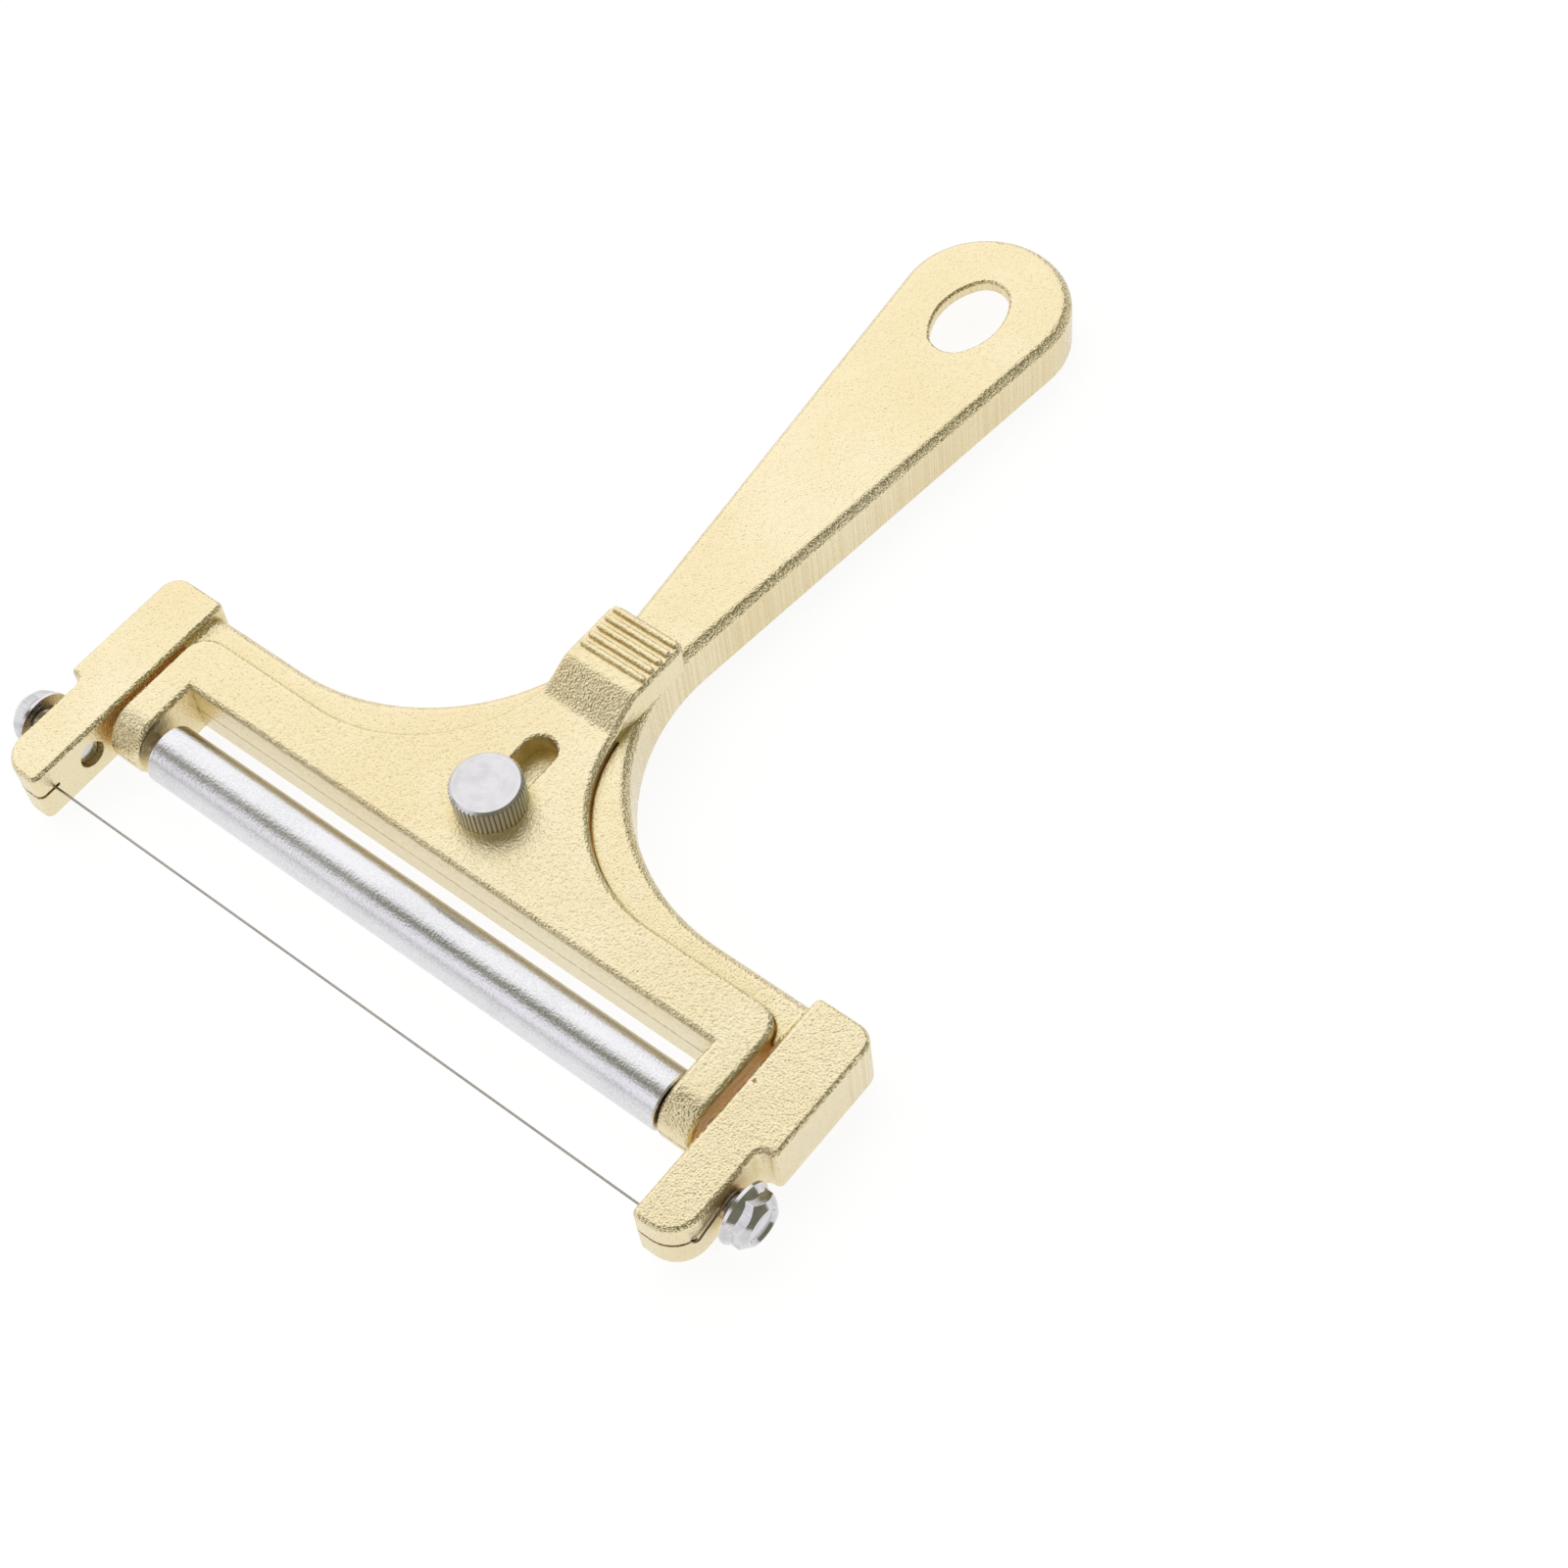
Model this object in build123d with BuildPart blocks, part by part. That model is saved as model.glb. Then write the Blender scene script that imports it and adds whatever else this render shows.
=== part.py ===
from build123d import *
import os
from math import acos, asin, atan2, cos, dist, hypot, pi, sin, sqrt

os.makedirs("parts", exist_ok=True)

# Overall sizes: x runs across, y from the arm tips to the handle end, z up from the table
overall_length = 177.2
cutting_span = 120.0

# Clearances, fits and the overrun of every cut
slide_clearance = 0.3
running_fit = 0.05
press_gap = 0.02
lift_gap = 0.05
overrun = 3.0

# Frame: arms with raised pads, distances along y are taken from the arm tips
pad_top = 10.3
arm_tip_width = 8.4
arm_pad_width = 11.0
arm_step_y = 18.4
arm_rear_y = 41.9
tip_inner_radius = 1.1
tip_outer_radius = 5.3
step_hollow_radius = 1.6
step_edge_radius = 0.9
pad_rear_outer_radius = 3.3
pad_rear_inner_radius = 1.1
arm_edge_radius = 0.8
foot_chamfer = 0.4

# Frame: web, yoke and handle
web_top = 8.7
web_front_y = 29.5
web_shoulder_y = 32.8
web_rear_y = 40.7
web_lap = 2.0
yoke_radius = 36.0
neck_half_width = 6.2
end_radius = 14.76
plate_edge_radius = 1.8
pad_foot_cove = 1.0

# Frame: hanging hole and the hollow under the handle
hole_width = 10.8
hole_length = 16.8
hole_end_distance = 18.7
hole_tip_radius = 4.1
hole_edge_radius = 0.6
hollow_wall = 2.5
hollow_roof = 2.0
hollow_start_y = 90.0
hollow_corner_radius = 1.5

# Frame: pocket for the carriage and hole for the clamp stud
pocket_floor = 7.06
stud_y = 38.8
stud_radius = 2.4

# Cutting wire and its slits
wire_radius = 0.2
wire_y = 3.1
wire_z = 5.6
slit_clearance = 0.1
slit_depth = 4.0
wire_bend_radius = 1.0
leg_clearance = 0.1
coil_clearance = 0.1
coil_pitch = 0.85
coil_quarter_turns = 7
gap_steps = 24

# Tension bolts
bolt_y = 10.9
bolt_z = 5.15
bolt_radius = 2.3
bolt_end_recess = 1.2
bolt_end_chamfer = 0.3
coil_room = 2.1
flange_radius = 5.1
flange_rim = 0.5
flange_height = 1.5
flange_shoulder_radius = 4.3
hex_across_flats = 8.0
left_hex_angle = -13
right_hex_angle = 29
head_height = 3.9
head_edge_drop = 1.4
head_flat_radius = 3.25
dish_radius = 2.95
dish_floor_radius = 2.5
dish_depth = 0.5

# Carriage: plate, legs and slot
carriage_thickness = 3.8
leg_arm_gap = 1.3
leg_width = 6.2
crossbar_front_y = 27.0
carriage_rear_y = 36.2
carriage_corner_radius = 4.3
carriage_neck_radius = 26.4
leg_ground_gap = 0.3
nose_front_y = 13.5
nose_centre_z = 5.0
carriage_edge_radius = 0.9
mould_line_z = 5.2
mould_line_rise = 0.15
slot_half_width = 2.7
slot_rear_y = 52.6
slot_edge_radius = 0.6

# Carriage: ramp, thumb pad and its ribs
ramp_foot_y = 58.8
ramp_head_y = 64.4
ramp_foot_radius = 3.0
ramp_head_radius = 3.0
thumb_rear_y = 76.6
thumb_half_width = 7.26
thumb_top = 13.9
thumb_corner_radius = 1.9
rib_first_y = 67.7
rib_pitch = 1.93
rib_count = 5
rib_length = 12.8
rib_width = 1.0
rib_height = 0.55
rib_edge_radius = 0.3

# Roller, its end bushes and axle
roller_y = 18.2
roller_z = 5.4
roller_radius = 4.9
roller_wall = 1.0
roller_edge = 0.25
bush_depth = 6.0
roller_end_gap = 0.3
roller_play = 2.2
axle_radius = 1.5
axle_end_recess = 0.5
axle_edge = 0.2

# Clamp knob and its stud
knob_radius = 5.8
knob_height = 5.0
knob_chamfer = 0.5
knurl_count = 48
knurl_depth = 0.26
stud_foot_z = 0.8
stud_seat_depth = 3.4

# Values that follow from the named sizes
front_y = -overall_length / 2
hole_centre_y = overall_length - hole_end_distance
arm_inner_x = cutting_span / 2
arm_tip_outer_x = arm_inner_x + arm_tip_width
arm_pad_outer_x = arm_inner_x + arm_pad_width
leg_outer_x = arm_inner_x - leg_arm_gap
leg_inner_x = leg_outer_x - leg_width
carriage_top = pocket_floor + carriage_thickness
nose_radius = carriage_top - nose_centre_z
nose_centre_y = nose_front_y + nose_radius
nose_foot_y = nose_centre_y - sqrt(nose_radius**2 - (nose_centre_z - leg_ground_gap) ** 2)
leg_rear_y = carriage_rear_y - carriage_corner_radius
shoulder_x = leg_inner_x - slide_clearance
lip_rear_y = web_front_y - slide_clearance
slot_front_y = stud_y - slot_half_width
roller_x = roller_play / 2
roller_half_length = leg_inner_x - roller_end_gap - roller_play / 2
axle_half_length = leg_outer_x - axle_end_recess
knob_foot_z = carriage_top + lift_gap
flange_x = arm_tip_outer_x + coil_room


def from_tip(distance):
    return front_y + distance


# Yoke arc, end circle and the straight side that touches both
yoke_centre_x = neck_half_width + yoke_radius
yoke_centre_y = from_tip(web_rear_y + yoke_radius)
end_centre_y = from_tip(overall_length - end_radius)
centre_distance = hypot(yoke_centre_x, end_centre_y - yoke_centre_y)
side_angle = atan2(end_centre_y - yoke_centre_y, -yoke_centre_x) + acos((yoke_radius + end_radius) / centre_distance)


def yoke_point(angle, inset=0):
    reach = yoke_radius + inset
    return (yoke_centre_x + reach * cos(angle), yoke_centre_y + reach * sin(angle))


def end_point(angle, inset=0):
    reach = end_radius - inset
    return (reach * cos(angle), end_centre_y + reach * sin(angle))


# Web, yoke and handle as one plate with rounded upper edges
with BuildPart() as plate:
    with BuildSketch():
        with BuildLine():
            Polyline(
                end_point(pi / 2),
                (0, from_tip(web_front_y)),
                (shoulder_x, from_tip(web_front_y)),
                (shoulder_x, from_tip(web_shoulder_y)),
                (arm_inner_x + web_lap, from_tip(web_shoulder_y)),
                (arm_inner_x + web_lap, from_tip(web_rear_y)),
                yoke_point(-pi / 2),
            )
            ThreePointArc(yoke_point(-pi / 2), yoke_point((side_angle - pi * 5 / 2) / 2), yoke_point(side_angle))
            Line(yoke_point(side_angle), end_point(side_angle - pi))
            ThreePointArc(end_point(side_angle - pi), end_point((side_angle - pi / 2) / 2), end_point(pi / 2))
        make_face()
        mirror(about=Plane.YZ)
    extrude(amount=web_top)
    rim = plate.edges().group_by(Axis.Z)[-1].filter_by(lambda e: e.center().Y > from_tip(web_shoulder_y))
    fillet(rim.filter_by(lambda e: abs(e.center().X) < arm_inner_x), plate_edge_radius)

# One arm with its raised pad
with BuildPart() as arm:
    with BuildSketch():
        with BuildLine():
            FilletPolyline(
                (arm_inner_x, from_tip(0)),
                (arm_tip_outer_x, from_tip(0)),
                (arm_tip_outer_x, from_tip(arm_step_y)),
                (arm_pad_outer_x, from_tip(arm_step_y)),
                (arm_pad_outer_x, from_tip(arm_rear_y)),
                (arm_inner_x, from_tip(arm_rear_y)),
                radius=[
                    tip_inner_radius,
                    tip_outer_radius,
                    step_hollow_radius,
                    step_edge_radius,
                    pad_rear_outer_radius,
                    pad_rear_inner_radius,
                ],
                close=True,
            )
        make_face()
    extrude(amount=pad_top)
    fillet(arm.edges().group_by(Axis.Z)[-1], arm_edge_radius)
    chamfer(arm.edges().group_by(Axis.Z)[0], foot_chamfer)

# Carriage seen from above, used by the carriage itself and by its pocket
with BuildSketch() as carriage_outline:
    with BuildLine():
        Polyline(
            (0, from_tip(thumb_rear_y)),
            (0, from_tip(crossbar_front_y)),
            (leg_inner_x, from_tip(crossbar_front_y)),
            (leg_inner_x, from_tip(nose_front_y - overrun)),
            (leg_outer_x, from_tip(nose_front_y - overrun)),
            (leg_outer_x, from_tip(leg_rear_y)),
        )
        RadiusArc(
            (leg_outer_x, from_tip(leg_rear_y)),
            (leg_outer_x - carriage_corner_radius, from_tip(carriage_rear_y)),
            -carriage_corner_radius,
        )
        Line(
            (leg_outer_x - carriage_corner_radius, from_tip(carriage_rear_y)),
            (thumb_half_width + carriage_neck_radius, from_tip(carriage_rear_y)),
        )
        RadiusArc(
            (thumb_half_width + carriage_neck_radius, from_tip(carriage_rear_y)),
            (thumb_half_width, from_tip(carriage_rear_y + carriage_neck_radius)),
            carriage_neck_radius,
        )
        Line(
            (thumb_half_width, from_tip(carriage_rear_y + carriage_neck_radius)),
            (thumb_half_width, from_tip(thumb_rear_y - thumb_corner_radius)),
        )
        RadiusArc(
            (thumb_half_width, from_tip(thumb_rear_y - thumb_corner_radius)),
            (thumb_half_width - thumb_corner_radius, from_tip(thumb_rear_y)),
            -thumb_corner_radius,
        )
        Line((thumb_half_width - thumb_corner_radius, from_tip(thumb_rear_y)), (0, from_tip(thumb_rear_y)))
    make_face()
    mirror(about=Plane.YZ)

# The stretch of it that sinks into the pocket
with BuildSketch() as pocket_outline:
    add(carriage_outline.sketch)
    split(bisect_by=Plane.XZ.offset(-from_tip(ramp_foot_y)), keep=Keep.TOP)
    offset(amount=slide_clearance, kind=Kind.INTERSECTION)

# Hollow under the handle, one wall inside its sides and its end
hollow_side_low = yoke_point(side_angle, hollow_wall)
hollow_side_top = end_point(side_angle - pi, hollow_wall)
hollow_start_share = (from_tip(hollow_start_y) - hollow_side_low[1]) / (hollow_side_top[1] - hollow_side_low[1])
hollow_start_x = hollow_side_low[0] + hollow_start_share * (hollow_side_top[0] - hollow_side_low[0])
with BuildSketch() as handle_hollow:
    with BuildLine():
        Polyline(
            end_point(pi / 2, hollow_wall),
            (0, from_tip(hollow_start_y)),
            (hollow_start_x, from_tip(hollow_start_y)),
            hollow_side_top,
        )
        ThreePointArc(
            hollow_side_top,
            end_point((side_angle - pi / 2) / 2, hollow_wall),
            end_point(pi / 2, hollow_wall),
        )
    make_face()
    mirror(about=Plane.YZ)
    fillet(handle_hollow.vertices().group_by(Axis.Y)[0], hollow_corner_radius)

# Hanging hole: an oval of two tip arcs and two flatter side arcs that touch
hole_side_x = hole_width / 2
hole_tip_y = hole_length / 2
hole_side_radius = (hole_side_x**2 + hole_tip_y**2 - 2 * hole_tip_y * hole_tip_radius) / (
    2 * (hole_side_x - hole_tip_radius)
)
hole_join_angle = atan2(hole_tip_y - hole_tip_radius, hole_side_radius - hole_side_x)
hole_join_x = hole_tip_radius * cos(hole_join_angle)
hole_join_y = hole_tip_y - hole_tip_radius + hole_tip_radius * sin(hole_join_angle)
with BuildSketch(Plane((0, from_tip(hole_centre_y), 0))) as hanging_hole:
    with BuildLine():
        ThreePointArc((hole_join_x, hole_join_y), (0, hole_tip_y), (-hole_join_x, hole_join_y))
        ThreePointArc((-hole_join_x, hole_join_y), (-hole_side_x, 0), (-hole_join_x, -hole_join_y))
        ThreePointArc((-hole_join_x, -hole_join_y), (0, -hole_tip_y), (hole_join_x, -hole_join_y))
        ThreePointArc((hole_join_x, -hole_join_y), (hole_side_x, 0), (hole_join_x, hole_join_y))
    make_face()

# Frame casting
with BuildPart() as frame:
    add(plate.part)
    add(arm.part)
    mirror(arm.part, about=Plane.YZ)
    for side in (-1, 1):
        with BuildSketch(Plane.XZ.offset(-from_tip(web_shoulder_y))):
            with BuildLine():
                Polyline(
                    (side * (arm_inner_x - pad_foot_cove), web_top),
                    (side * arm_inner_x, web_top),
                    (side * arm_inner_x, web_top + pad_foot_cove),
                )
                TangentArc(
                    (side * arm_inner_x, web_top + pad_foot_cove),
                    (side * (arm_inner_x - pad_foot_cove), web_top),
                    tangent=(0, -1),
                )
            make_face()
        extrude(amount=web_shoulder_y + plate_edge_radius - web_rear_y)
    with BuildSketch(Plane.XY.offset(pocket_floor)):
        add(pocket_outline.sketch)
    extrude(amount=web_top, mode=Mode.SUBTRACT)
    with BuildSketch():
        add(handle_hollow.sketch)
    extrude(amount=web_top - hollow_roof, mode=Mode.SUBTRACT)
    with BuildSketch():
        add(hanging_hole.sketch)
    extrude(amount=web_top, mode=Mode.SUBTRACT)
    hole_rim = frame.edges().filter_by(lambda e: abs(e.center().X) <= hole_side_x)
    hole_rim = hole_rim.filter_by(lambda e: abs(e.center().Y - from_tip(hole_centre_y)) <= hole_tip_y)
    fillet(hole_rim.group_by(Axis.Z)[-1], hole_edge_radius)
    with BuildSketch():
        with Locations((0, from_tip(stud_y))):
            Circle(stud_radius + running_fit)
    extrude(amount=web_top, mode=Mode.SUBTRACT)
    with BuildSketch(Plane.YZ.offset(-arm_pad_outer_x)):
        with Locations((from_tip(bolt_y), bolt_z)):
            Circle(bolt_radius + running_fit)
    extrude(amount=2 * arm_pad_outer_x, mode=Mode.SUBTRACT)
    with BuildSketch(Plane.XZ.offset(-front_y)):
        with Locations((0, wire_z)):
            Rectangle(2 * arm_pad_outer_x, 2 * (wire_radius + slit_clearance))
    extrude(amount=-slit_depth, mode=Mode.SUBTRACT)
frame.part.label = "frame"
export_step(frame.part, "parts/frame.step")

# Carriage: one side profile from the round noses to the thumb pad, cut to the outline
with BuildPart() as carriage:
    with BuildSketch(Plane.YZ):
        with BuildLine():
            FilletPolyline(
                (from_tip(nose_centre_y), carriage_top),
                (from_tip(ramp_foot_y), carriage_top),
                (from_tip(ramp_head_y), thumb_top),
                (from_tip(thumb_rear_y + overrun), thumb_top),
                (from_tip(thumb_rear_y + overrun), web_top + lift_gap),
                (from_tip(ramp_foot_y), web_top + lift_gap),
                (from_tip(ramp_foot_y), pocket_floor),
                (from_tip(leg_rear_y), pocket_floor),
                (from_tip(leg_rear_y), leg_ground_gap),
                (from_tip(nose_foot_y), leg_ground_gap),
                radius=[ramp_foot_radius, ramp_head_radius, 0, 0, 0, 0, 0, 0],
            )
            ThreePointArc(
                (from_tip(nose_foot_y), leg_ground_gap),
                (from_tip(nose_front_y), nose_centre_z),
                (from_tip(nose_centre_y), carriage_top),
            )
        make_face()
    extrude(amount=leg_outer_x + overrun, both=True)
    with BuildSketch():
        add(carriage_outline.sketch)
    extrude(amount=thumb_top, mode=Mode.INTERSECT)
    with BuildSketch(Plane.YZ):
        with BuildLine():
            Polyline(
                (from_tip(lip_rear_y), 0),
                (from_tip(lip_rear_y), pocket_floor),
                (from_tip(web_shoulder_y), pocket_floor),
                (from_tip(web_shoulder_y), 0),
                close=True,
            )
        make_face()
    extrude(amount=leg_inner_x, both=True, mode=Mode.SUBTRACT)
    crown = carriage.edges().filter_by(lambda e: e.bounding_box().min.Z > carriage_top - press_gap)
    rims = crown.filter_by(lambda e: abs(e.center().X) > thumb_half_width - thumb_corner_radius)
    rims += crown.filter_by(lambda e: abs(e.center().Y - from_tip(thumb_rear_y)) < press_gap)
    rims += crown.filter_by(lambda e: abs(e.center().Y - from_tip(crossbar_front_y)) < press_gap)
    leg_tops = rims.filter_by(GeomType.LINE).filter_by(
        lambda e: leg_inner_x + press_gap < abs(e.center().X) < leg_outer_x - press_gap
    )
    rims -= leg_tops.filter_by(lambda e: e.center().Y < from_tip(crossbar_front_y))
    rims += carriage.edges().filter_by(GeomType.CIRCLE).filter_by(lambda e: e.center().Y < from_tip(roller_y))
    fillet(rims, carriage_edge_radius)
    with BuildSketch(Plane.YZ):
        with BuildLine():
            Polyline(
                (from_tip(crossbar_front_y), carriage_top - carriage_edge_radius),
                (from_tip(crossbar_front_y - mould_line_rise), mould_line_z),
                (from_tip(crossbar_front_y), leg_ground_gap),
                close=True,
            )
        make_face()
    extrude(amount=leg_inner_x, both=True)
    with BuildSketch():
        with Locations((0, from_tip((slot_front_y + slot_rear_y) / 2))):
            SlotOverall(slot_rear_y - slot_front_y, 2 * slot_half_width, rotation=90)
    extrude(amount=thumb_top, mode=Mode.SUBTRACT)
    slot_rim = carriage.edges().filter_by(lambda e: abs(e.center().X) <= slot_half_width)
    slot_rim = slot_rim.filter_by(lambda e: from_tip(slot_front_y) <= e.center().Y <= from_tip(slot_rear_y))
    fillet(slot_rim.group_by(Axis.Z)[-1], slot_edge_radius)
    with BuildSketch(Plane.XY.offset(thumb_top - rib_height)):
        with Locations(*[(0, from_tip(rib_first_y + row * rib_pitch)) for row in range(rib_count)]):
            SlotOverall(rib_length, rib_width)
    extrude(amount=2 * rib_height)
    fillet(carriage.edges().group_by(Axis.Z)[-1], rib_edge_radius)
    with BuildSketch(Plane.YZ.offset(-leg_outer_x - overrun)):
        with Locations((from_tip(roller_y), roller_z)):
            Circle(axle_radius + press_gap)
    extrude(amount=2 * (leg_outer_x + overrun), mode=Mode.SUBTRACT)
carriage.part.label = "carriage"
export_step(carriage.part, "parts/carriage.step")

# Roller tube between the legs, run to the right end of its play along the axle
with BuildPart() as roller:
    with BuildSketch(Plane.YZ.offset(roller_x - roller_half_length)):
        with Locations((from_tip(roller_y), roller_z)):
            Circle(roller_radius)
            Circle(roller_radius - roller_wall, mode=Mode.SUBTRACT)
    extrude(amount=2 * roller_half_length)
    tube_ends = roller.edges().filter_by(GeomType.CIRCLE)
    chamfer(tube_ends.filter_by(lambda e: e.radius > roller_radius - press_gap), roller_edge)
roller.part.label = "roller"
export_step(roller.part, "parts/roller.step")

# Bush in each end of the tube, flush with it, with a bore for the axle
for name, side in (("left", -1), ("right", 1)):
    bush_plane = Plane(
        origin=(roller_x + side * roller_half_length, from_tip(roller_y), roller_z),
        x_dir=(0, 1, 0),
        z_dir=(side, 0, 0),
    )
    with BuildPart() as roller_bush:
        with BuildSketch(bush_plane):
            Circle(roller_radius - roller_wall - press_gap)
            Circle(axle_radius + running_fit, mode=Mode.SUBTRACT)
        extrude(amount=-bush_depth)
    roller_bush.part.label = "roller_bush_" + name
    export_step(roller_bush.part, "parts/roller_bush_" + name + ".step")

# Axle pressed into both legs
with BuildPart() as roller_axle:
    with BuildSketch(Plane.YZ.offset(-axle_half_length)):
        with Locations((from_tip(roller_y), roller_z)):
            Circle(axle_radius)
    extrude(amount=2 * axle_half_length)
    chamfer(roller_axle.edges().filter_by(GeomType.CIRCLE), axle_edge)
roller_axle.part.label = "roller_axle"
export_step(roller_axle.part, "parts/roller_axle.step")

# Clamp knob: knurled side, bevelled top edge, blind bore for the stud
knob_plane = Plane(origin=(0, from_tip(stud_y), knob_foot_z))
knob_section = Plane(origin=(0, from_tip(stud_y), knob_foot_z), x_dir=(1, 0, 0), z_dir=(0, -1, 0))
with BuildPart() as clamp_knob:
    with BuildSketch(knob_plane):
        Circle(knob_radius)
        with PolarLocations(knob_radius, knurl_count):
            Rectangle(sqrt(2) * knurl_depth, sqrt(2) * knurl_depth, rotation=45, mode=Mode.SUBTRACT)
    extrude(amount=knob_height)
    with BuildSketch(knob_section):
        with BuildLine():
            Polyline(
                (0, 0),
                (knob_radius + overrun, 0),
                (knob_radius + overrun, knob_height - knob_chamfer - overrun),
                (knob_radius - knob_chamfer, knob_height),
                (0, knob_height),
                close=True,
            )
        make_face()
    revolve(axis=Axis((0, from_tip(stud_y), 0), (0, 0, 1)), mode=Mode.INTERSECT)
    with BuildSketch(knob_plane):
        Circle(stud_radius + press_gap)
    extrude(amount=stud_seat_depth, mode=Mode.SUBTRACT)
clamp_knob.part.label = "clamp_knob"
export_step(clamp_knob.part, "parts/clamp_knob.step")

# Clamp stud from the knob through the slot and into the frame
stud_top_z = knob_foot_z + stud_seat_depth - press_gap
with BuildPart() as clamp_stud:
    with BuildSketch(Plane(origin=(0, from_tip(stud_y), stud_foot_z))):
        Circle(stud_radius)
    extrude(amount=stud_top_z - stud_foot_z)
    chamfer(clamp_stud.edges().group_by(Axis.Z)[0], bolt_end_chamfer)
clamp_stud.part.label = "clamp_stud"
export_step(clamp_stud.part, "parts/clamp_stud.step")

# Tension bolt at each side: shank, coned flange, hexagon with a shallow dish in its face
shank_length = flange_x - arm_inner_x - bolt_end_recess
dish_floor = head_height - dish_depth
for name, side, hex_angle in (("left", -1, left_hex_angle), ("right", 1, right_hex_angle)):
    bolt_seat = (side * flange_x, from_tip(bolt_y), bolt_z)
    bolt_plane = Plane(origin=bolt_seat, x_dir=(0, 1, 0), z_dir=(side, 0, 0))
    bolt_section = Plane(origin=bolt_seat, x_dir=(0, 1, 0), z_dir=(0, 0, -side))
    bolt_axis = Axis(bolt_seat, (side, 0, 0))
    with BuildPart() as tension_bolt:
        with BuildSketch(bolt_plane):
            RegularPolygon(hex_across_flats / 2, 6, major_radius=False, rotation=hex_angle)
        extrude(amount=head_height)
        with BuildSketch(bolt_section):
            with BuildLine():
                Polyline(
                    (0, 0),
                    (hex_across_flats, 0),
                    (hex_across_flats, head_height - head_edge_drop),
                    (hex_across_flats / 2 / cos(pi / 6), head_height - head_edge_drop),
                    (head_flat_radius, head_height),
                    (0, head_height),
                    close=True,
                )
            make_face()
        revolve(axis=bolt_axis, mode=Mode.INTERSECT)
        with BuildSketch(bolt_section):
            with BuildLine():
                Polyline(
                    (0, -shank_length),
                    (bolt_radius - bolt_end_chamfer, -shank_length),
                    (bolt_radius, bolt_end_chamfer - shank_length),
                    (bolt_radius, 0),
                    (flange_radius, 0),
                    (flange_radius, flange_rim),
                    (flange_shoulder_radius, flange_height),
                    (0, flange_height),
                    close=True,
                )
            make_face()
        revolve(axis=bolt_axis)
        with BuildSketch(bolt_section):
            with BuildLine():
                Polyline(
                    (0, dish_floor),
                    (dish_floor_radius, dish_floor),
                    (dish_radius, head_height),
                    (dish_radius, head_height + overrun),
                    (0, head_height + overrun),
                    close=True,
                )
            make_face()
        revolve(axis=bolt_axis, mode=Mode.SUBTRACT)
    tension_bolt.part.label = "tension_bolt_" + name
    export_step(tension_bolt.part, "parts/tension_bolt_" + name + ".step")

# Cutting wire: straight across the gap, bent rearward beside each arm, wound round the bolt
leg_x = arm_tip_outer_x + leg_clearance + wire_radius
coil_radius = bolt_radius + coil_clearance + wire_radius
bolt_reach = hypot(bolt_y - wire_y, bolt_z - wire_z)
leg_angle = atan2(bolt_z - wire_z, bolt_y - wire_y) + asin(coil_radius / bolt_reach)
leg_slope = Vector(0, cos(leg_angle), sin(leg_angle))
wire_corner = Vector(leg_x, from_tip(wire_y), wire_z)
bend_end = wire_corner + leg_slope * wire_bend_radius


def coil_place(turns):
    angle = pi / 2 + leg_angle - 2 * pi * turns
    place = Vector(
        leg_x + coil_pitch * turns, from_tip(bolt_y) + coil_radius * cos(angle), bolt_z + coil_radius * sin(angle)
    )
    heading = Vector(coil_pitch, 2 * pi * coil_radius * sin(angle), -2 * pi * coil_radius * cos(angle))
    return place, heading.normalized()


def biarc(start, start_heading, end, end_heading):
    chord = end - start
    blend = start_heading + end_heading
    share = 2 * (1 - start_heading.dot(end_heading))
    reach = (sqrt(chord.dot(blend) ** 2 + share * chord.dot(chord)) - chord.dot(blend)) / share
    middle = (start + end + (start_heading - end_heading) * reach) / 2
    middle_heading = ((end - end_heading * reach) - (start + start_heading * reach)).normalized()
    return [(start, middle, start_heading), (middle, end, middle_heading)]


coil_arcs = []
place, heading = coil_place(0)
heading = leg_slope
for quarter in range(1, coil_quarter_turns + 1):
    next_place, next_heading = coil_place(quarter / 4)
    coil_arcs += biarc(place, heading, next_place, next_heading)
    place, heading = next_place, next_heading
wire_end = place + heading * (2 * wire_radius)
bend_start = wire_corner - Vector(wire_bend_radius, 0, 0)
with BuildLine() as wire_run:
    TangentArc(bend_start, bend_end, tangent=(1, 0, 0))
    Line(bend_end, coil_arcs[0][0])
    for start, end, start_heading in coil_arcs:
        TangentArc(start, end, tangent=start_heading)
    Line(place, wire_end)
    side_runs = list(wire_run.edges())
    mirror(about=Plane.YZ)
    Line((-bend_start.X, bend_start.Y, bend_start.Z), bend_start)
wire_path = Wire(wire_run.edges())
with BuildPart() as cutting_wire:
    with BuildSketch(Plane(origin=wire_path @ 0, z_dir=wire_path % 0)):
        Circle(wire_radius)
    sweep(path=wire_path)
cutting_wire.part.label = "cutting_wire"
export_step(cutting_wire.part, "parts/cutting_wire.step")

# Least gap of the wound wire to itself, on points along one side
run_points = []
run_length = 0
for edge in side_runs:
    for step in range(gap_steps):
        run_points.append((run_length + edge.length * step / gap_steps, tuple(edge @ (step / gap_steps))))
    run_length += edge.length
least_gap = min(
    dist(near_point, far_point)
    for near_run, near_point in run_points
    for far_run, far_point in run_points
    if far_run - near_run > pi * coil_radius
)
print("least gap of the wire to itself", round(least_gap - 2 * wire_radius, 3), "mm")
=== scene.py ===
import bpy
from mathutils import Matrix, Vector

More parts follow.
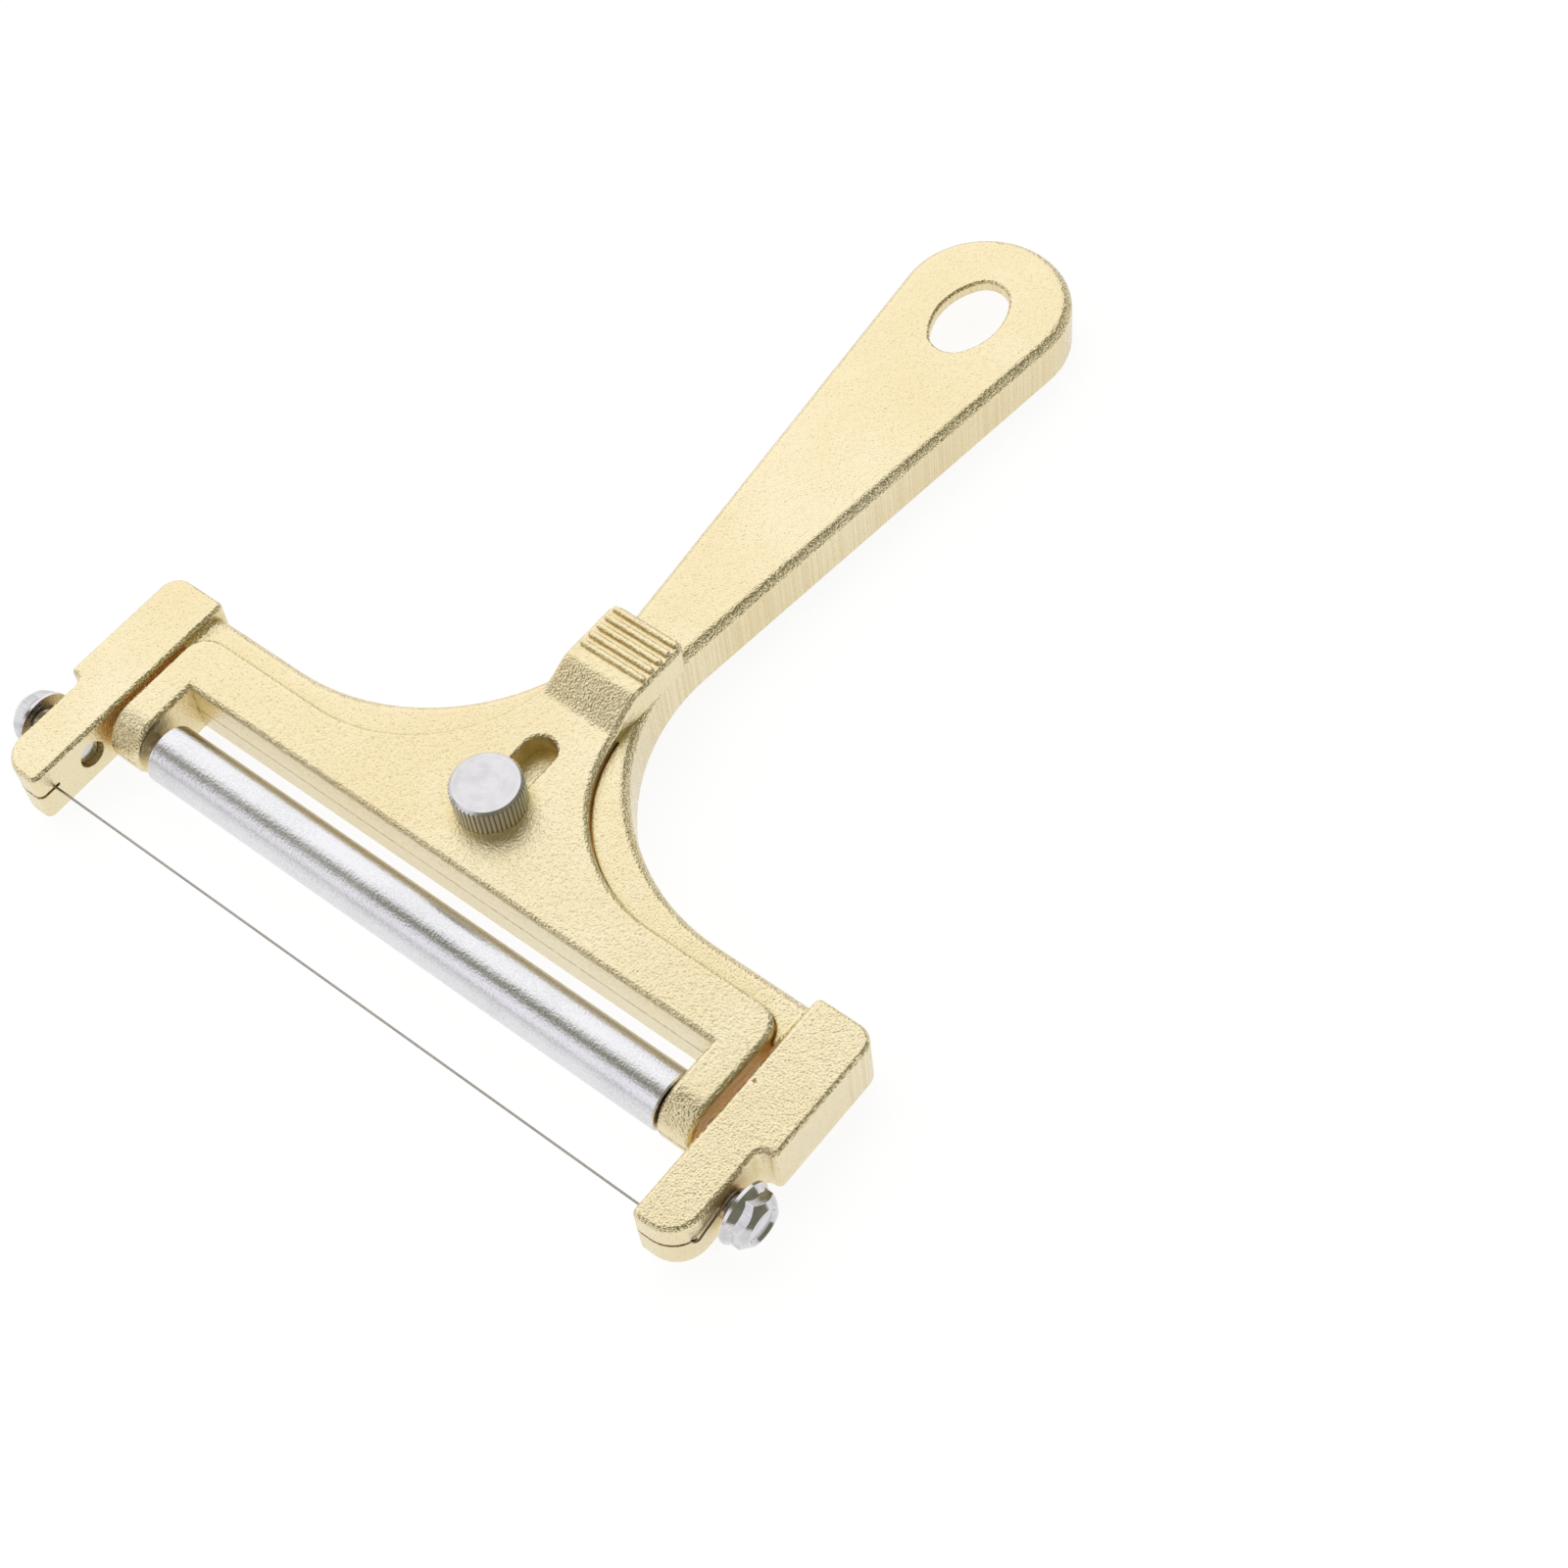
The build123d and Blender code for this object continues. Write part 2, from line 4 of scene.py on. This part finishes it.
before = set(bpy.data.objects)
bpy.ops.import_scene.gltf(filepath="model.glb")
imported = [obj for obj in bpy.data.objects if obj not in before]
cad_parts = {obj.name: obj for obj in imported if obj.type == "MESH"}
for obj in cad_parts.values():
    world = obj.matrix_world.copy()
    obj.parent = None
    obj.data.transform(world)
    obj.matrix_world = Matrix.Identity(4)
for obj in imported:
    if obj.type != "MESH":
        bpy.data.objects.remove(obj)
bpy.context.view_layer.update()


# Node helpers
def new_material(name):
    mat = bpy.data.materials.new(name)
    mat.use_nodes = True
    tree = mat.node_tree
    tree.nodes.clear()
    out = tree.nodes.new("ShaderNodeOutputMaterial")
    bsdf = tree.nodes.new("ShaderNodeBsdfPrincipled")
    tree.links.new(bsdf.outputs["BSDF"], out.inputs["Surface"])
    return mat, tree, bsdf


# Where on the piece, in metres
def place(tree, scale=(1, 1, 1)):
    coord = tree.nodes.new("ShaderNodeTexCoord")
    mapping = tree.nodes.new("ShaderNodeMapping")
    mapping.inputs["Scale"].default_value = scale
    tree.links.new(coord.outputs["Object"], mapping.inputs["Vector"])
    return mapping.outputs["Vector"]


def noise(tree, vector, scale, detail=2.0, roughness=0.5):
    node = tree.nodes.new("ShaderNodeTexNoise")
    node.inputs["Scale"].default_value = scale
    node.inputs["Detail"].default_value = detail
    node.inputs["Roughness"].default_value = roughness
    tree.links.new(vector, node.inputs["Vector"])
    return node.outputs["Fac"]


def ramp(tree, value, stops, ease="LINEAR"):
    node = tree.nodes.new("ShaderNodeValToRGB")
    node.color_ramp.interpolation = ease
    band = node.color_ramp
    band.elements[0].position, band.elements[0].color = stops[0]
    band.elements[1].position, band.elements[1].color = stops[-1]
    for position, colour in stops[1:-1]:
        band.elements.new(position).color = colour
    tree.links.new(value, node.inputs["Fac"])
    return node.outputs["Color"]


def grey(v):
    return (v, v, v, 1)


def math(tree, kind, a, b=None, c=None, clamp=False):
    node = tree.nodes.new("ShaderNodeMath")
    node.operation = kind
    node.use_clamp = clamp
    for slot, value in zip(node.inputs, (a, b, c)):
        if value is None:
            continue
        if isinstance(value, (int, float)):
            slot.default_value = value
        else:
            tree.links.new(value, slot)
    return node.outputs[0]


def mix(tree, factor, a, b):
    node = tree.nodes.new("ShaderNodeMix")
    node.data_type = "RGBA"
    for slot, value in ((node.inputs[0], factor), (node.inputs[6], a), (node.inputs[7], b)):
        if isinstance(value, (int, float, tuple)):
            slot.default_value = value
        else:
            tree.links.new(value, slot)
    return node.outputs[2]


def bump(tree, height, distance):
    node = tree.nodes.new("ShaderNodeBump")
    node.inputs["Distance"].default_value = distance
    tree.links.new(height, node.inputs["Height"])
    return node.outputs["Normal"]


# Sum of values, each times its share
def total(tree, parts):
    height = None
    for value, share in parts:
        scaled = math(tree, "MULTIPLY", value, share)
        height = scaled if height is None else math(tree, "ADD", height, scaled)
    return height


# How far a place lies on an edge or rim: 0 on flat faces, 1 on a sharp rim
def edge_mask(tree, radius, gain):
    bevel = tree.nodes.new("ShaderNodeBevel")
    bevel.samples = 6
    bevel.inputs["Radius"].default_value = radius
    geometry = tree.nodes.new("ShaderNodeNewGeometry")
    dot = tree.nodes.new("ShaderNodeVectorMath")
    dot.operation = "DOT_PRODUCT"
    tree.links.new(bevel.outputs["Normal"], dot.inputs[0])
    tree.links.new(geometry.outputs["Normal"], dot.inputs[1])
    return math(tree, "MULTIPLY", math(tree, "SUBTRACT", 1.0, dot.outputs["Value"]), gain, clamp=True)


# How open a place lies: 1 on open faces, towards 0 in a gap or corner
def openness(tree, reach):
    node = tree.nodes.new("ShaderNodeAmbientOcclusion")
    node.samples = 6
    node.inputs["Distance"].default_value = reach
    return node.outputs["AO"]


def parts_of(tree, vector):
    node = tree.nodes.new("ShaderNodeSeparateXYZ")
    tree.links.new(vector, node.inputs["Vector"])
    return node.outputs["X"], node.outputs["Y"], node.outputs["Z"]


def surface_normal(tree):
    return tree.nodes.new("ShaderNodeNewGeometry").outputs["Normal"]


# 1 within a half width of a value, 0 beyond it
def near_value(tree, value, middle, half_width):
    away = math(tree, "ABSOLUTE", math(tree, "SUBTRACT", value, middle))
    return math(tree, "LESS_THAN", away, half_width)


# Materials
GOLD = (0.82, 0.70, 0.44, 1)
GOLD_PALE = (0.85, 0.75, 0.51, 1)
GOLD_DEEP = (0.60, 0.46, 0.20, 1)
# gold for the painted shade in half-open gaps, and orange for the painted shade in the deepest corners
GOLD_GAP_SHADE = (0.97, 0.79, 0.36, 1)
GOLD_CREVICE_SHADE = (0.64, 0.36, 0.08, 1)
BROWN = (0.45, 0.30, 0.09, 1)

# Cast surface: noise scales per metre, lengths in metres
CAST_GRAIN = 2900
CAST_LUMPS = 1100
CAST_CLOUD = 40
CAST_SPARKLE = 2700
CAST_STREAKS = 3400
STREAK_STRETCH = 0.004
CAST_DEPTH = 0.0001
EDGE_RADIUS = 0.0006
EDGE_GAIN = 7.0
GAP_REACH = 0.004
UPRIGHT_LIMIT = 0.2
MARKS_FROM_Y = -0.055
MOULD_LINE_Z = 0.0052
MOULD_LINE_HALF_WIDTH = 0.00028
PIT_PLACE = (0.0612, -0.0627)
FRAME_WALL_MARKS = 0.35
CARRIAGE_WALL_MARKS = 0.08


# Cast gold; wall marks set how strong the upright marks on side walls are, the mould line is a
# height on walls that face the wire, and the pit a place on a pad
def cast_gold(name, wall_marks, mould_line_z=None, pit_place=None):
    mat, tree, bsdf = new_material(name)
    where = place(tree)
    x, y, z = parts_of(tree, where)
    grain = noise(tree, where, CAST_GRAIN, 2.0, 0.6)
    lumps = noise(tree, where, CAST_LUMPS, 2.0, 0.5)
    cloud = noise(tree, where, CAST_CLOUD, 3.0, 0.55)
    edge = edge_mask(tree, EDGE_RADIUS, EDGE_GAIN)
    open_share = openness(tree, GAP_REACH)
    above_foot = ramp(tree, math(tree, "MULTIPLY", z, 100.0), [(0.15, grey(0)), (0.40, grey(1))])
    # painted shade masks from how open a place lies: half-open gaps and corners, then the deepest ones, both
    # kept off the foot
    gap_shade = math(tree, "MULTIPLY", ramp(tree, open_share, [(0.38, grey(1)), (0.82, grey(0))]), above_foot)
    crevice_shade = math(tree, "MULTIPLY", ramp(tree, open_share, [(0.14, grey(1)), (0.36, grey(0))]), above_foot)

    # deeper gold in the pits of the grain, paler in broad clouds and on rims (partly wear, partly a painted
    # highlight), and painted shade in gaps: richer gold in half-open gaps and corners, orange in the deepest
    tint = mix(tree, ramp(tree, cloud, [(0.38, grey(0)), (0.66, grey(1))]), GOLD, GOLD_PALE)
    pits = ramp(tree, grain, [(0.24, grey(0.8)), (0.42, grey(0))])
    tint = mix(tree, pits, tint, GOLD_DEEP)
    # rims paler: partly wear, partly a painted highlight
    tint = mix(tree, math(tree, "MULTIPLY", edge, 0.35), tint, GOLD_PALE)
    # painted shade: richer gold in gaps, orange in the deepest corners
    tint = mix(tree, gap_shade, tint, GOLD_GAP_SHADE)
    tint = mix(tree, crevice_shade, tint, GOLD_CREVICE_SHADE)

    # side walls of the handle and its fork carry fine upright marks, all else an even cast grain
    nx, ny, nz = parts_of(tree, surface_normal(tree))
    upright = math(tree, "LESS_THAN", math(tree, "ABSOLUTE", nz), UPRIGHT_LIMIT)
    upright = math(tree, "MULTIPLY", upright, math(tree, "GREATER_THAN", y, MARKS_FROM_Y))
    streak = noise(tree, place(tree, (1, 1, STREAK_STRETCH)), CAST_STREAKS, 1.0, 0.5)
    streaks = math(tree, "MULTIPLY", streak, upright)
    lines = math(tree, "MULTIPLY", ramp(tree, streak, [(0.40, grey(wall_marks)), (0.55, grey(0))]), upright)
    tint = mix(tree, lines, tint, GOLD_DEEP)
    # rounded edges and the ramp sparkle: their grain stands higher
    level = math(tree, "MULTIPLY", nz, nz)
    slope = math(tree, "MULTIPLY", math(tree, "MULTIPLY", level, 4.0), math(tree, "SUBTRACT", 1.0, level))
    sparkle = noise(tree, where, CAST_SPARKLE, 1.0, 0.5)
    coarse = math(tree, "MULTIPLY", sparkle, math(tree, "MAXIMUM", edge, slope))
    parts = [(grain, 1.0), (lumps, 0.6), (streaks, wall_marks), (coarse, 5.0)]
    if mould_line_z:
        faces_wire = math(tree, "LESS_THAN", ny, -0.9)
        line = math(tree, "MULTIPLY", near_value(tree, z, mould_line_z, MOULD_LINE_HALF_WIDTH), faces_wire)
        broken = ramp(tree, lumps, [(0.36, grey(1)), (0.60, grey(0.25))])
        tint = mix(tree, math(tree, "MULTIPLY", line, broken), tint, BROWN)
        parts.append((line, -1.0))
    if pit_place:
        across = math(tree, "SUBTRACT", x, pit_place[0])
        along = math(tree, "SUBTRACT", y, pit_place[1])
        reach = math(tree, "MULTIPLY", across, across)
        reach = math(tree, "ADD", reach, math(tree, "MULTIPLY", along, along))
        pit = ramp(tree, math(tree, "MULTIPLY", reach, 1e7), [(0.4, grey(1)), (0.9, grey(0))])
        tint = mix(tree, math(tree, "MULTIPLY", pit, 0.9), tint, BROWN)
        parts.append((pit, -1.0))
    tree.links.new(tint, bsdf.inputs["Base Color"])
    shaded = math(tree, "SUBTRACT", gap_shade, crevice_shade, clamp=True)
    metallic = math(tree, "SUBTRACT", 1.0, math(tree, "MULTIPLY", shaded, 0.5))
    tree.links.new(metallic, bsdf.inputs["Metallic"])
    rough = math(tree, "MULTIPLY_ADD", lumps, 0.14, 0.11)
    rough = math(tree, "SUBTRACT", rough, math(tree, "MULTIPLY", math(tree, "MAXIMUM", edge, slope), 0.08))
    tree.links.new(rough, bsdf.inputs["Roughness"])
    tree.links.new(bump(tree, total(tree, parts), CAST_DEPTH), bsdf.inputs["Normal"])
    return mat


def turned_metal(name, colour, roughness, stretch, scale, depth, grain_share=0.6):
    mat, tree, bsdf = new_material(name)
    marks = noise(tree, place(tree, stretch), scale, 3.0, 0.6)
    grain = noise(tree, place(tree), 2600, 2.0, 0.6)
    cloud = noise(tree, place(tree), 120, 2.0, 0.5)
    dull = tuple(c * 0.78 for c in colour[:3]) + (1,)
    shade = math(tree, "ADD", math(tree, "MULTIPLY", grain, 0.6), math(tree, "MULTIPLY", cloud, 0.4))
    worn = ramp(tree, shade, [(0.34, grey(0.7)), (0.56, grey(0))])
    tree.links.new(mix(tree, worn, colour, dull), bsdf.inputs["Base Color"])
    bsdf.inputs["Metallic"].default_value = 1.0
    rough = math(tree, "MULTIPLY_ADD", cloud, roughness * 0.6, roughness * 0.7)
    tree.links.new(rough, bsdf.inputs["Roughness"])
    height = total(tree, [(marks, 1.0), (grain, grain_share)])
    tree.links.new(bump(tree, height, depth), bsdf.inputs["Normal"])
    return mat


KNOB_TOP = (0.725, 0.71, 0.73, 1)
KNOB_TOP_DULL = (0.60, 0.59, 0.605, 1)
# knob side: painted highlight on the knurl lands, painted shade in its grooves
KNOB_LAND_HIGHLIGHT = (1.0, 0.98, 0.96, 1)
KNOB_GROOVE_SHADE = (0.60, 0.50, 0.40, 1)
KNOB_AXIS_Y = -0.0498
KNOB_GROOVES = 48


# Knob: faint turned rings and blotches on top; round the side a painted highlight on the lands and painted
# shade in the grooves
def knob_satin(name, axis_y, groove_count):
    mat, tree, bsdf = new_material(name)
    where = place(tree)
    x, y, z = parts_of(tree, where)
    y = math(tree, "SUBTRACT", y, axis_y)
    radius = math(tree, "ADD", math(tree, "MULTIPLY", x, x), math(tree, "MULTIPLY", y, y))
    radius = math(tree, "SQRT", radius)
    combine = tree.nodes.new("ShaderNodeCombineXYZ")
    tree.links.new(radius, combine.inputs["X"])
    rings = noise(tree, combine.outputs["Vector"], 2300, 3.0, 0.6)
    grain = noise(tree, where, 2600, 2.0, 0.6)
    cloud = noise(tree, where, 420, 2.0, 0.5)
    shade = math(tree, "ADD", math(tree, "MULTIPLY", rings, 0.35), math(tree, "MULTIPLY", cloud, 0.65))
    blotch = ramp(tree, shade, [(0.36, grey(1)), (0.60, grey(0))])
    top = mix(tree, blotch, KNOB_TOP, KNOB_TOP_DULL)
    # painted shade in the knurl grooves and painted highlight on the lands, by angle round the knob axis
    turn = math(tree, "COSINE", math(tree, "MULTIPLY", math(tree, "ARCTAN2", y, x), groove_count))
    groove_shade = ramp(tree, turn, [(0.05, grey(0)), (0.75, grey(1))])
    side = mix(tree, groove_shade, KNOB_LAND_HIGHLIGHT, KNOB_GROOVE_SHADE)
    nx, ny, nz = parts_of(tree, surface_normal(tree))
    on_side = math(tree, "LESS_THAN", math(tree, "ABSOLUTE", nz), 0.3)
    tree.links.new(mix(tree, on_side, top, side), bsdf.inputs["Base Color"])
    metallic = math(tree, "SUBTRACT", 1.0, math(tree, "MULTIPLY", on_side, 0.45))
    tree.links.new(metallic, bsdf.inputs["Metallic"])
    rough = math(tree, "MULTIPLY_ADD", cloud, 0.14, 0.22)
    rough = math(tree, "SUBTRACT", rough, math(tree, "MULTIPLY", on_side, 0.12))
    tree.links.new(rough, bsdf.inputs["Roughness"])
    tree.links.new(bump(tree, total(tree, [(rings, 1.0), (grain, 0.5)]), 0.00003), bsdf.inputs["Normal"])
    return mat


CHROME = (0.70, 0.69, 0.71, 1)
CHROME_DULL = (0.58, 0.57, 0.59, 1)
CHROME_EDGE_HIGHLIGHT = (0.86, 0.85, 0.86, 1)


# Bright plating with a few fine scratches, dulled a little in patches, and a painted highlight on edges and
# rims
def chrome(name):
    mat, tree, bsdf = new_material(name)
    scratch = noise(tree, place(tree, (0.06, 1, 1)), 3000, 2.0, 0.6)
    wear = noise(tree, place(tree), 500, 2.0, 0.5)
    edge = edge_mask(tree, 0.0003, 6.0)
    dulled = ramp(tree, wear, [(0.36, grey(1)), (0.62, grey(0))])
    tint = mix(tree, dulled, CHROME, CHROME_DULL)
    # painted highlight: paler plating on edges and rims
    tree.links.new(mix(tree, edge, tint, CHROME_EDGE_HIGHLIGHT), bsdf.inputs["Base Color"])
    bsdf.inputs["Metallic"].default_value = 1.0
    tree.links.new(math(tree, "MULTIPLY_ADD", wear, 0.12, 0.08), bsdf.inputs["Roughness"])
    tree.links.new(bump(tree, total(tree, [(scratch, 1.0), (wear, 0.5)]), 0.000018), bsdf.inputs["Normal"])
    return mat


PLASTIC = (0.035, 0.03, 0.026, 1)
PLASTIC_PALE = (0.06, 0.052, 0.045, 1)


def dark_plastic(name):
    mat, tree, bsdf = new_material(name)
    grain = noise(tree, place(tree), 2500, 3.0, 0.6)
    pale = ramp(tree, grain, [(0.3, grey(0)), (0.7, grey(1))])
    tint = mix(tree, pale, PLASTIC, PLASTIC_PALE)
    tree.links.new(tint, bsdf.inputs["Base Color"])
    tree.links.new(math(tree, "MULTIPLY_ADD", grain, 0.2, 0.4), bsdf.inputs["Roughness"])
    tree.links.new(bump(tree, grain, 0.00003), bsdf.inputs["Normal"])
    return mat


def dress(node, mat):
    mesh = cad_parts[node].data
    if not mesh.materials:
        mesh.materials.append(mat)
    for i in range(len(mesh.materials)):
        mesh.materials[i] = mat


SILVER = (0.78, 0.775, 0.80, 1)
STEEL = (0.60, 0.59, 0.605, 1)
WIRE = (0.46, 0.42, 0.39, 1)
AXLE = (0.86, 0.84, 0.90, 1)

bush_plastic = dark_plastic("bush_dark")
bolt_metal = chrome("bolt_chrome")
steel = turned_metal("steel_satin", STEEL, 0.28, (1, 1, 1), 2600, 0.00002)
dress("frame", cast_gold("cast_gold_frame", FRAME_WALL_MARKS, pit_place=PIT_PLACE))
dress("carriage", cast_gold("cast_gold_carriage", CARRIAGE_WALL_MARKS, mould_line_z=MOULD_LINE_Z))
dress("roller", turned_metal("roller_satin", SILVER, 0.21, (1, 0.25, 0.25), 2400, 0.00003, 1.6))
dress("roller_bush_left", bush_plastic)
dress("roller_bush_right", bush_plastic)
dress("roller_axle", turned_metal("axle_pale", AXLE, 0.42, (1, 1, 1), 2600, 0.00002))
dress("clamp_knob", knob_satin("knob_satin", KNOB_AXIS_Y, KNOB_GROOVES))
dress("clamp_stud", steel)
dress("tension_bolt_left", bolt_metal)
dress("tension_bolt_right", bolt_metal)
dress("cutting_wire", turned_metal("wire_drawn", WIRE, 0.26, (0.1, 1, 1), 5000, 0.000004))

FLOOR_SIZE = 40
FLOOR_WHITE = 0.92
FLOOR_LIFT = 0.75
LIGHT = 1.2

# Floor: plain white for all light, and a paler look at its shadow for eye, glossy and clear rays
bpy.ops.mesh.primitive_plane_add(size=FLOOR_SIZE, location=(0, 0, 0))
floor = bpy.context.object
floor.name = "floor"
mat, tree, bsdf = new_material("floor_white")
bsdf.inputs["Base Color"].default_value = grey(FLOOR_WHITE)
bsdf.inputs["Roughness"].default_value = 1.0
bsdf.inputs["Specular IOR Level"].default_value = 0.0
glow = tree.nodes.new("ShaderNodeEmission")
glow.inputs["Color"].default_value = (1, 1, 1, 1)
glow.inputs["Strength"].default_value = LIGHT
rays = tree.nodes.new("ShaderNodeLightPath")
seen = math(tree, "MAXIMUM", rays.outputs["Is Camera Ray"], rays.outputs["Is Glossy Ray"])
seen = math(tree, "MAXIMUM", seen, rays.outputs["Is Transmission Ray"])
blend = tree.nodes.new("ShaderNodeMixShader")
tree.links.new(math(tree, "MULTIPLY", seen, FLOOR_LIFT), blend.inputs[0])
tree.links.new(bsdf.outputs["BSDF"], blend.inputs[1])
tree.links.new(glow.outputs["Emission"], blend.inputs[2])
out = [n for n in tree.nodes if n.type == "OUTPUT_MATERIAL"][0]
tree.links.new(blend.outputs["Shader"], out.inputs["Surface"])
floor.data.materials.append(mat)

# Studio seen by the light: a wide white source above and behind, a white panel to the front left
# that greys towards the floor, and a dark room on the near side and on the right
world = bpy.data.worlds.new("studio")
bpy.context.scene.world = world
world.use_nodes = True
tree = world.node_tree
tree.nodes.clear()
out = tree.nodes.new("ShaderNodeOutputWorld")
back = tree.nodes.new("ShaderNodeBackground")
tree.links.new(back.outputs["Background"], out.inputs["Surface"])
coord = tree.nodes.new("ShaderNodeTexCoord")
split = tree.nodes.new("ShaderNodeSeparateXYZ")
tree.links.new(coord.outputs["Generated"], split.inputs["Vector"])
# Both run from 0 to 1: towards the back left, and towards the back right
HALF_DIAGONAL = 0.35355
behind = math(tree, "MULTIPLY", math(tree, "SUBTRACT", split.outputs["Y"], split.outputs["X"]), HALF_DIAGONAL)
behind = math(tree, "ADD", behind, 0.5)
across = math(tree, "MULTIPLY", math(tree, "ADD", split.outputs["Y"], split.outputs["X"]), HALF_DIAGONAL)
across = math(tree, "ADD", across, 0.5)
DARK = (0.19, 0.185, 0.13, 1)
PANEL = (0.90, 0.89, 0.92, 1)
PANEL_LOW = (0.54, 0.53, 0.53, 1)
WHITE = (1, 1, 1, 1)
raised = ramp(tree, split.outputs["Z"], [(0.10, grey(0)), (0.34, grey(1))], "EASE")
panel = mix(tree, raised, PANEL_LOW, PANEL)
left = ramp(tree, across, [(0.16, grey(1)), (0.25, grey(0))], "EASE")
front = ramp(tree, behind, [(0.46, grey(1)), (0.52, grey(0))], "EASE")
room = mix(tree, math(tree, "MULTIPLY", left, front), DARK, panel)
source = ramp(tree, behind, [(0.58, grey(0)), (0.68, grey(1))], "EASE")
right_end = ramp(tree, across, [(0.68, grey(1)), (0.76, grey(0))], "EASE")
sky = mix(tree, math(tree, "MULTIPLY", source, right_end), room, WHITE)
tree.links.new(sky, back.inputs["Color"])
back.inputs["Strength"].default_value = LIGHT

# Camera: its place in metres and its axes, from the calibrated view
CAMERA_PLACE = Vector((0.2076059, -0.1932345, 0.3786577))
CAMERA_RIGHT = Vector((0.7794948, 0.6215770, -0.0776522))
CAMERA_UP = Vector((-0.4852804, 0.6776045, 0.5525894))
SENSOR_WIDTH = 36
FOCAL_LENGTH = 68.1306
SHIFT_X = -0.00118
SHIFT_Y = -0.01168
CLIP_START = 0.01
CLIP_END = 100
GLOSSY_BOUNCES = 8

camera_data = bpy.data.cameras.new("camera")
camera = bpy.data.objects.new("camera", camera_data)
bpy.context.scene.collection.objects.link(camera)
back_axis = CAMERA_RIGHT.cross(CAMERA_UP)
rotation = Matrix((CAMERA_RIGHT, CAMERA_UP, back_axis)).transposed().to_4x4()
camera.matrix_world = Matrix.Translation(CAMERA_PLACE) @ rotation
camera_data.sensor_width = SENSOR_WIDTH
camera_data.lens = FOCAL_LENGTH
camera_data.shift_x = SHIFT_X
camera_data.shift_y = SHIFT_Y
camera_data.clip_start = CLIP_START
camera_data.clip_end = CLIP_END
bpy.context.scene.camera = camera
bpy.context.scene.view_settings.view_transform = "Standard"
bpy.context.scene.cycles.glossy_bounces = GLOSSY_BOUNCES
